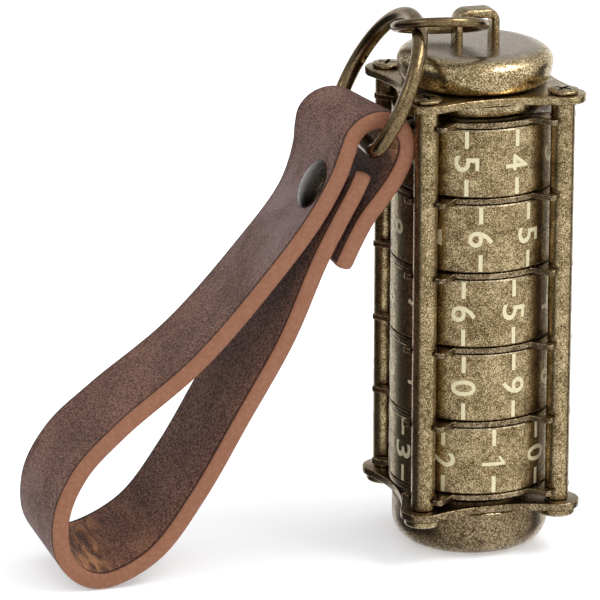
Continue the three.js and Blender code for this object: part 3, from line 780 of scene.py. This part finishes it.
def make_dials():
    glyphs = [glyph_mesh(d) for d in range(10)]
    dash = dash_mesh()
    for level, start in enumerate(DIAL_STARTS):
        name = f"dial_ring_{level + 1}"
        body = f"dial_{level + 1}"
        low, high = boxed(name)
        bottom, top = low.z, high.z
        profile = [
            (DIAL_BORE, bottom),
            (DIAL_RADIUS - DIAL_LIP, bottom),
            (DIAL_RADIUS - DIAL_STEP, bottom + 0.1),
            (DIAL_RADIUS, bottom + DIAL_RIM),
            (DIAL_RADIUS, top - DIAL_RIM),
            (DIAL_RADIUS - DIAL_STEP, top - 0.1),
            (DIAL_RADIUS - DIAL_LIP, top),
            (DIAL_BORE, top),
        ]
        # The rims at each end take the painted edge highlight
        shape = lathe(profile, 144, edges=(1, 2, 4, 5))
        mesh = mesh_of(name + "_shown", *shape, ["brass", "edge"])
        piece(name + "_shown", mesh, body, "antique_brass", name)
        reach = (top - bottom) / 2 - DASH_MARGIN - DASH_LENGTH / 2
        middle = (bottom + top) / 2
        mesh = engraving_mesh(f"digits_{level + 1}", start, middle, reach, glyphs, dash)
        piece(f"digits_{level + 1}", mesh, body, "antique_brass")


# Core

CARRIER_ROUND = 0.15
BAIL_LEG = 1.15
BAIL_BAR = 1.4
BAIL_TOP_DROP = 0.22
BAIL_OUTER_BEND = 1.9
BAIL_INNER_BEND = 0.4
BAIL_BEVEL = 0.55


def make_core():
    low, high = boxed("core_cap")
    waist, pocket = KNOB_WAIST_Z, CARRIER_RADIUS + GAP
    under = (KNOB_RADIUS - KNOB_UNDERSIDE, waist - low.z)
    over = (KNOB_RADIUS - KNOB_FLAT_RADIUS, high.z - waist)
    ceiling = low.z + CARRIER_POCKET
    profile = [(0, ceiling), (pocket, ceiling), (pocket, low.z)]
    profile += curve_arc((KNOB_UNDERSIDE, waist), under, -90, 0, 14)
    profile += curve_arc((KNOB_FLAT_RADIUS, waist), over, 0, 90, 20)[1:]
    profile += [(0, high.z)]
    mesh = mesh_of("knob", *lathe(profile, 144, False), ["knob"])
    piece("knob", mesh, "core", "knob_brass", "core_cap")
    low, high = boxed("carrier_tube")
    inner, outer = CARRIER_BORE, CARRIER_RADIUS
    profile = [(inner, low.z), (outer, low.z), (outer, high.z), (inner, high.z)]
    shape, edges = rounded(profile, CARRIER_ROUND)
    # The rounded corners take the painted edge highlight
    mesh = mesh_of("carrier_shown", *lathe(shape, 96, edges=edges), ["brass", "edge"])
    piece("carrier_shown", mesh, "core", "antique_brass", "carrier_tube")


def make_bail():
    low, high = boxed("bail")
    half, top, foot = (high.x - low.x) / 2, high.z - BAIL_TOP_DROP, low.z
    outer, inner = BAIL_OUTER_BEND, BAIL_INNER_BEND
    inside, under = half - BAIL_LEG, top - BAIL_BAR
    outline = [(half, foot)]
    outline += curve_arc((half - outer, top - outer), (outer, outer), 0, 90, 12)
    outline += curve_arc((outer - half, top - outer), (outer, outer), 90, 180, 12)
    outline += [(-half, foot), (-inside, foot)]
    outline += curve_arc((inner - inside, under - inner), (inner, inner), 180, 90, 6)
    outline += curve_arc((inside - inner, under - inner), (inner, inner), 90, 0, 6)
    outline += [(inside, foot)]
    depth, finish = high.y - low.y, ["brass", "brass"]
    mesh = slab_mesh("bail_shown", outline, [], 0, depth, BAIL_BEVEL, finish, True, 4)
    piece("bail_shown", mesh, "core", "antique_brass", "bail")


# Rings


def ring_of(node_name):
    """Centre, axis, radius and wire of a CAD ring, from its mesh."""
    points = np.array([v.co for v in NODES[node_name].data.vertices]) / MM
    centre = points.mean(0)
    _, _, axes = np.linalg.svd(points - centre, full_matrices=False)
    axis = axes[2]
    height = (points - centre) @ axis
    distance = np.linalg.norm(points - centre - np.outer(height, axis), axis=1)
    radius = (distance.max() + distance.min()) / 2
    wire = (distance.max() - distance.min()) / 2
    return Vector(centre), Vector(axis), float(radius), float(wire)


KEY_BAR_DEPTH = 6.2  # from the key ring's centre down to its straight bar
KEY_CORNER = 2.4
RING_SECTION = 32


def ring_path(radius, bar_depth, corner):
    """Points of a ring's centre line and the angles of their outward ways.

    With a bar depth the ring is an arc closed by a straight bar, with a bend at each end.
    """
    if not bar_depth:
        turns = [TAU * i / 192 for i in range(192)]
        return [((radius * math.cos(a), radius * math.sin(a)), a) for a in turns]
    lift = corner - bar_depth
    side = math.sqrt((radius - corner) ** 2 - lift**2)
    start = math.atan2(lift, side)
    turns = [start + (math.pi - 2 * start) * i / 144 for i in range(145)]
    path = [((radius * math.cos(a), radius * math.sin(a)), a) for a in turns]
    bend = math.pi / 2 + start
    bends = [(-side, math.pi - start + bend * i / 19) for i in range(1, 20)]
    bends += [(side, 1.5 * math.pi + bend * i / 19) for i in range(19)]
    for middle, a in bends:
        path.append(((middle + corner * math.cos(a), lift + corner * math.sin(a)), a))
    return path


def make_ring(node_name, name, body, bar_depth=0, corner=0):
    centre, axis, radius, wire = ring_of(node_name)
    rise = (Vector((0, 0, 1)) - axis * axis.z).normalized()
    run = axis.cross(rise)
    path = ring_path(radius, bar_depth, corner)
    points, faces = [], []
    for i, ((x, y), a) in enumerate(path):
        middle = centre + run * x + rise * y
        out = run * math.cos(a) + rise * math.sin(a)
        here, ahead = i * RING_SECTION, (i + 1) % len(path) * RING_SECTION
        for j in range(RING_SECTION):
            b = TAU * j / RING_SECTION
            points.append(tuple(middle + out * (wire * math.cos(b)) + axis * (wire * math.sin(b))))
            k = (j + 1) % RING_SECTION
            faces.append((here + j, ahead + j, ahead + k, here + k))
    mesh = mesh_of(name, points, faces, [0] * len(faces), ["ring"])
    piece(name, mesh, body, "ring_brass", node_name)


# Strap

STRAP_WIDTH = 18
LEATHER = 2.5
# The near edge's route seen from the front, x and z, and how far the far edge leans in x and z
# for each millimetre of width. It runs from the outer tab over the key ring, down to the wrist
# loop and back up to the tucked end.
STRAP_ROUTE = [
    (-22.6, 45.6, 0, 0),
    (-20.95, 49.2, 0, 0),
    (-18.85, 53, -0.02, 0),
    (-16.5, 56, -0.06, 0),
    (-14.4, 59, -0.1, 0),
    (-13.1, 61.9, -0.13, 0),
    (-12.85, 63.7, -0.15, 0),
    (-13.3, 65.4, -0.165, 0),
    (-14.4, 66.8, -0.165, -0.02),
    (-16.7, 67.6, -0.165, -0.02),
    (-19, 67.1, -0.165, -0.02),
    (-20.7, 65.6, -0.16, -0.02),
    (-21.75, 63, -0.13, 0),
    (-22.9, 59.9, -0.08, 0),
    (-26.45, 53.6, 0, 0),
    (-33.1, 45, 0, 0),
    (-43.75, 33.3, 0, 0.02),
    (-55.6, 23.8, 0.01, 0.06),
    (-61.4, 17.8, -0.01, 0.1),
    (-64.2, 11.4, -0.05, 0.12),
    (-63.9, 5.7, -0.08, 0.1),
    (-61.7, 2.55, -0.09, 0.1),
    (-59, 1.3, -0.08, 0.12),
    (-55.8, 1.7, -0.05, 0.15),
    (-50.1, 5, -0.04, 0.16),
    (-43.9, 13.1, -0.05, 0.14),
    (-37.3, 24.3, -0.08, 0.08),
    (-30.7, 35.8, -0.08, 0.02),
    (-25.8, 47.2, -0.04, 0),
    (-22.6, 53.4, -0.02, 0),
    (-20.7, 56.9, 0, 0),
    (-19.1, 60.3, 0, 0),
]
STRAP_FRONT_Y = -10.3
STRAP_STATIONS = 460
EDGE_BEAD = 0.5  # how far the painted edge bulges
CREASE_DEPTH = 0.06  # the pressed line along each edge
END_STEP = 0.0012  # share of the strap's length between the first rows at each end
END_CORNER = 1.6
END_BEAD = 0.75
TUCKED_CUT = 0.95  # share of the length where the slanting cut starts
TUCKED_KEEP = 0.53  # share of the cut end that the far edge keeps
TUCKED_LANE = 6.5  # width over which the cut slants
BEND_REACH = 2.5  # the bend at a place is measured over this far each way
BEND_LOW = 0.1  # turn, in radians, where wrinkles start
BEND_SPAN = 0.22  # and how much more it takes for all of them
PAINTED_SHEEN_LENGTH = 46.0  # where the painted grey sheen is strongest, along the strap
PAINTED_SHEEN_REACH = 13.0
PAINTED_SHEEN_LOW = (14, 30)  # heights between which the painted sheen of the wrist loop's bend fades out
PAINTED_SHEEN_LOW_SHARE = 0.8


def spline(points, steps=30):
    """Dense rows along the centripetal Catmull-Rom curve; its pace comes from x and z alone."""
    p = [np.array(q, float) for q in points]
    p = [2 * p[0] - p[1], *p, 2 * p[-1] - p[-2]]
    dense = []
    for a, b, c, d in zip(p, p[1:], p[2:], p[3:]):
        legs = ((a, b), (b, c), (c, d))
        ab, bc, cd = (math.sqrt(np.linalg.norm((n - m)[:2])) for m, n in legs)
        start = ((b - a) / ab - (c - a) / (ab + bc) + (c - b) / bc) * bc
        end = ((c - b) / bc - (d - b) / (bc + cd) + (d - c) / cd) * bc
        for i in range(steps):
            t = i / steps
            square = (-3 * b + 3 * c - 2 * start - end) * t**2
            dense.append(b + start * t + square + (2 * b - 2 * c + start + end) * t**3)
    dense.append(p[-2])
    return np.array(dense)


ROUTE = spline(STRAP_ROUTE)
ROUTE_STEPS = np.linalg.norm(np.diff(ROUTE[:, :2], axis=0), axis=1)
ROUTE_LENGTHS = np.concatenate([[0], np.cumsum(ROUTE_STEPS)])
STRAP_LENGTH = float(ROUTE_LENGTHS[-1])


def route_at(length):
    """x, z and the two leans at a length along the strap."""
    return [float(np.interp(length, ROUTE_LENGTHS, ROUTE[:, k])) for k in range(4)]


def clamped(x):
    return min(1, max(0, x))


def smoothstep(x, low, high):
    t = clamped((x - low) / (high - low))
    return t * t * (3 - 2 * t)


def strap_frame(length):
    """Point of the near edge, and the directions across and out of the leather."""
    x, z, lean_x, lean_z = route_at(length)
    step = 0.15
    ahead, behind = route_at(min(STRAP_LENGTH, length + step)), route_at(max(0, length - step))
    run = Vector((ahead[0] - behind[0], 0, ahead[1] - behind[1])).normalized()
    side = Vector((lean_x, 1, lean_z)).normalized()
    return Vector((x, STRAP_FRONT_Y, z)), side, side.cross(run).normalized()


def bend_at(length):
    """0 where the strap runs straight, towards 1 where it is bent tightest."""
    places = [min(STRAP_LENGTH, max(0, length + d)) for d in (-BEND_REACH, 0, BEND_REACH)]
    a, b, c = (Vector(route_at(place)[:2]) for place in places)
    if (b - a).length < 0.1 or (c - b).length < 0.1:
        return 0
    turn = abs((b - a).angle_signed(c - b, 0))
    return clamped((turn - BEND_LOW) / BEND_SPAN)


def bloom_at(length, bend):
    """How strong the painted grey sheen is: round one place, and where the strap bends near the
    floor.
    """
    high = math.exp(-(((length - PAINTED_SHEEN_LENGTH) / PAINTED_SHEEN_REACH) ** 2))
    low = PAINTED_SHEEN_LOW_SHARE * bend * (1 - smoothstep(route_at(length)[1], *PAINTED_SHEEN_LOW))
    return max(high, low)


def section_loop():
    """The strap's section, across and through, and the tint of the face after each point.

    Tints are 0 on the outside, 1 on the inside, 2 on the edges and 3 in the creases.
    """
    half = LEATHER / 2
    near = curve_arc((EDGE_BEAD, 0), (EDGE_BEAD, half - 0.03), 96, 264, 14)
    far = [(STRAP_WIDTH - x, -y) for x, y in near]
    rim = [0.8, 0.98, 1.4, 1.85, 2.3]
    dips = [CREASE_DEPTH, 0, 0, 0.05, 0]
    middle = [rim[-1] + (STRAP_WIDTH - 2 * rim[-1]) * i / 14 for i in range(1, 14)]
    places = rim + middle + [STRAP_WIDTH - x for x in reversed(rim)]
    depths = dips + [0] * len(middle) + list(reversed(dips))
    under = [(x, d - half) for x, d in zip(places, depths)]
    over = [(x, -y) for x, y in reversed(under)]
    edge = [2] * (len(near) - 1)
    side = len(places) + 1
    tints = []
    for face in (1, 0):
        tints += edge + [3, 3] + [face] * (side - 4) + [3, 3]
    return near + under + far + over, tints


def strap_lengths():
    """Where the strap's rows stand along it, closer together near its two ends."""
    near = [STRAP_LENGTH * END_STEP * i for i in range(8)]
    inner = np.linspace(near[-1], STRAP_LENGTH - near[-1], STRAP_STATIONS)
    return [*near[:-1], *inner, *[STRAP_LENGTH - e for e in reversed(near[:-1])]]


def strap_row(length, section):
    """The section's points at a length, and how far across the strap each one is."""
    gap = min(length, STRAP_LENGTH - length)
    inset = 0
    if gap < END_CORNER:
        inset = END_CORNER - math.sqrt(END_CORNER**2 - (END_CORNER - gap) ** 2)
    thin = 1
    if gap < END_BEAD:
        thin = math.sqrt(max(0.02, 1 - (1 - gap / END_BEAD) ** 2))
    scale = (STRAP_WIDTH - 2 * inset) / STRAP_WIDTH
    past = max(0, length - TUCKED_CUT * STRAP_LENGTH) * (1 - TUCKED_KEEP)
    points, places = [], []
    for across, through in section:
        across = inset + across * scale
        kept = length - past * smoothstep(across, 0, TUCKED_LANE)
        point, side, outward = strap_frame(kept)
        points.append(tuple(point + side * across + outward * through * thin))
        places.append(across * MM)
    return points, places


def make_strap():
    section, section_tints = section_loop()
    count = len(section)
    lengths = strap_lengths()
    points, faces, tints = [], [], []
    marks = {"bend": [], "painted_sheen_mask": [], "along": [], "across": []}
    for length in lengths:
        row, places = strap_row(length, section)
        bend = bend_at(length)
        points += row
        marks["bend"] += [bend] * count
        marks["painted_sheen_mask"] += [bloom_at(length, bend)] * count
        marks["along"] += [length * MM] * count
        marks["across"] += places
    for i in range(len(lengths) - 1):
        gap = min(lengths[i + 1], STRAP_LENGTH - lengths[i])
        here, ahead = i * count, (i + 1) * count
        for j in range(count):
            k = (j + 1) % count
            faces.append((here + j, ahead + j, ahead + k, here + k))
            tints.append(2 if gap < END_BEAD else section_tints[j])
    last = (len(lengths) - 1) * count
    faces.append(tuple(range(count)))
    faces.append(tuple(last + j for j in reversed(range(count))))
    tints += [2, 2]
    mesh = mesh_of("strap", points, faces, tints, ["leather", "inside", "paint", "crease"], 60)
    for key, values in marks.items():
        attribute = mesh.attributes.new(key, "FLOAT", "POINT")
        attribute.data.foreach_set("value", values)
    work = bmesh.new()
    work.from_mesh(mesh)
    bmesh.ops.recalc_face_normals(work, faces=work.faces)
    work.to_mesh(mesh)
    work.free()
    piece("strap", mesh, "strap", "strap_leather", "wrist_strap")


RIVET_LENGTH = 0.2173 * STRAP_LENGTH
RIVET_ACROSS = 4.95
RIVET_HEAD = 3.85
RIVET_DOME = 0.95
RIVET_SINK = 0.12  # how far the head presses into the leather
RIVET_SHANK = 1.2
RIVET_DEPTH = 9.1
WASHER_RADIUS = 3.4
WASHER_THICKNESS = 0.6
WASHER_ROUND = 0.2


def make_rivet():
    point, side, outward = strap_frame(RIVET_LENGTH)
    seat = point + side * RIVET_ACROSS + outward * (LEATHER / 2 - RIVET_SINK)
    turn = Vector((0, 0, 1)).rotation_difference(outward)

    def turned(name, profile, steps, closed):
        points, faces, tints = lathe(profile, steps, closed)
        placed = [tuple(seat + turn @ Vector(p)) for p in points]
        return mesh_of(name, placed, faces, tints, ["bronze"])

    shank, head, bottom = RIVET_SHANK, RIVET_HEAD, -RIVET_DEPTH
    profile = [(0, bottom), (shank, bottom), (shank, 0), (head - 0.2, 0), (head, 0.12)]
    profile += curve_arc((0, 0.2), (head, RIVET_DOME), 0, 90, 24)
    piece("rivet", turned("rivet", profile, 80, False), "strap", "rivet_bronze", "rivet_cap")
    inner, top = shank + GAP, bottom + WASHER_THICKNESS
    profile = [(inner, bottom), (WASHER_RADIUS, bottom), (WASHER_RADIUS, top), (inner, top)]
    mesh = turned("rivet_back", rounded(profile, WASHER_ROUND)[0], 64, True)
    piece("rivet_back", mesh, "strap", "rivet_bronze", "rivet_washer")


# Pieces that stay as the CAD has them, and only take a finish

INSIDE_FINISHES = {  # start of the node's name: finish
    "inner_sleeve": "dark",
    "code_ring": "dark",
    "lock_pin": "steel",
    "plug_shell": "steel",
    "plug_tongue": "plastic",
    "plug_mount": "plastic",
    "memory_chip": "plastic",
    "controller_chip": "plastic",
    "circuit_board": "board",
}
SOFT_EDGE = 0.06


def finish_inside():
    for name, shown in NODES.items():
        for start, key in INSIDE_FINISHES.items():
            if name.startswith(start):
                shown.data.materials.clear()
                shown.data.materials.append(M[key])
                soft = shown.modifiers.new("soft_edges", "BEVEL")
                soft.width = SOFT_EDGE * MM
                soft.segments = 2
                soft.limit_method = "ANGLE"
                soft.angle_limit = math.radians(40)


# Studio

FLOOR_REACH = 6.0  # metres each way from the middle


def make_floor():
    reach = FLOOR_REACH
    corners = [(-reach, -reach, 0), (reach, -reach, 0), (reach, reach, 0), (-reach, reach, 0)]
    mesh = bpy.data.meshes.new("floor")
    mesh.from_pydata(corners, [], [(0, 1, 2, 3)])
    floor = bpy.data.objects.new("floor", mesh)
    bpy.context.scene.collection.objects.link(floor)
    material, tree, shader, place = new_material("studio_floor")
    fine = noise(tree, place, 4, 2, 0.5)
    feed(tree, shader.inputs["Base Color"], ramp(tree, fine, [(0.3, 0.88), (0.7, 0.9)]))
    shader.inputs["Emission Color"].default_value = (1, 1, 1, 1)
    shader.inputs["Emission Strength"].default_value = 0.34
    shader.inputs["Roughness"].default_value = 0.9
    shader.inputs["Specular IOR Level"].default_value = 0
    mesh.materials.append(material)
    floor.visible_glossy = False


# What metal reflects, as brightness by place: all round at eye height in degrees from the
# camera's side, and above and below as shares of the turn from behind to behind
WALL_STOPS = [
    (-180, 1.15),
    (-138, 1.15),
    (-131, 0.05),
    (-50, 0.035),
    (-34, 0.8),
    (40, 1.05),
    (97, 1),
    (107, 0.03),
    (129, 0.03),
    (136, 1.5),
    (180, 1.15),
]
SKY_STOPS = [(0, 0.62), (0.3, 0.4), (0.45, 0.6), (0.6, 1.2), (0.75, 1.1), (1, 0.62)]
FLOOR_STOPS = [(0, 0.8), (0.3, 0.4), (0.45, 0.62), (0.65, 0.95), (1, 0.8)]


def make_world():
    """White for the eye, soft and even for matt surfaces, and panels with dark gaps for metal."""
    world = bpy.data.worlds.new("studio")
    bpy.context.scene.world = world
    world.use_nodes = True
    world.cycles.sampling_method = "NONE"
    tree = world.node_tree
    tree.nodes.clear()
    ways = tree.nodes.new("ShaderNodeTexCoord").outputs["Generated"]
    turned = node(tree, "VectorRotate", {"rotation_type": "Z_AXIS"}, Vector=ways, Angle=-FACING)
    parts = node(tree, "SeparateXYZ", Vector=turned.outputs[0]).outputs
    around = sums(tree, "ARCTAN2", parts["Y"], parts["X"])
    share = spread(tree, around, -math.pi, math.pi)
    wall = ramp(tree, share, [((a + 180) / 360, v) for a, v in WALL_STOPS])
    sky = ramp(tree, share, SKY_STOPS)
    high = spread(tree, parts["Z"], 0.02, 0.3, smooth=True)
    panels = blend(tree, high, wall, sky)
    low = spread(tree, parts["Z"], -0.5, -0.72, smooth=True)
    floor = ramp(tree, share, FLOOR_STOPS)
    panels = blend(tree, low, panels, floor)
    path = tree.nodes.new("ShaderNodeLightPath").outputs
    even = blend(tree, path["Is Camera Ray"], (0.86, 0.87, 0.9), (1.0, 1.0, 1.0))
    colour = blend(tree, path["Is Glossy Ray"], even, panels)
    back = node(tree, "Background", Color=colour)
    output = tree.nodes.new("ShaderNodeOutputWorld")
    tree.links.new(back.outputs[0], output.inputs[0])


LIT = Vector((0, 0, 0.045))  # the lights point here, in metres


def area_light(name, around, rise, distance, size, power):
    """A soft light, placed in degrees round from the camera's side and up from the floor."""
    data = bpy.data.lights.new(name, "AREA")
    data.shape = "RECTANGLE"
    data.size, data.size_y = size
    data.energy = power
    light = bpy.data.objects.new(name, data)
    bpy.context.scene.collection.objects.link(light)
    a, e = FACING + math.radians(around), math.radians(rise)
    way = Vector((math.cos(a) * math.cos(e), math.sin(a) * math.cos(e), math.sin(e)))
    light.location = LIT + way * distance
    light.rotation_mode = "QUATERNION"
    light.rotation_quaternion = way.to_track_quat("Z", "Y")


def make_lights():
    area_light("key_light", 78, 56, 0.8, (0.42, 0.3), 2.6)
    area_light("fill_light", -60, 40, 1.0, (0.5, 0.4), 0.8)
    bpy.context.scene.view_settings.view_transform = "Standard"


make_plates()
make_posts()
make_screws()
make_separators()
make_foot()
make_collars()
make_dials()
make_core()
make_bail()
make_ring("jump_ring", "small_link", "first_link")
make_ring("key_ring", "large_link", "second_link", KEY_BAR_DEPTH, KEY_CORNER)
make_strap()
make_rivet()
finish_inside()
make_floor()
make_world()
make_lights()
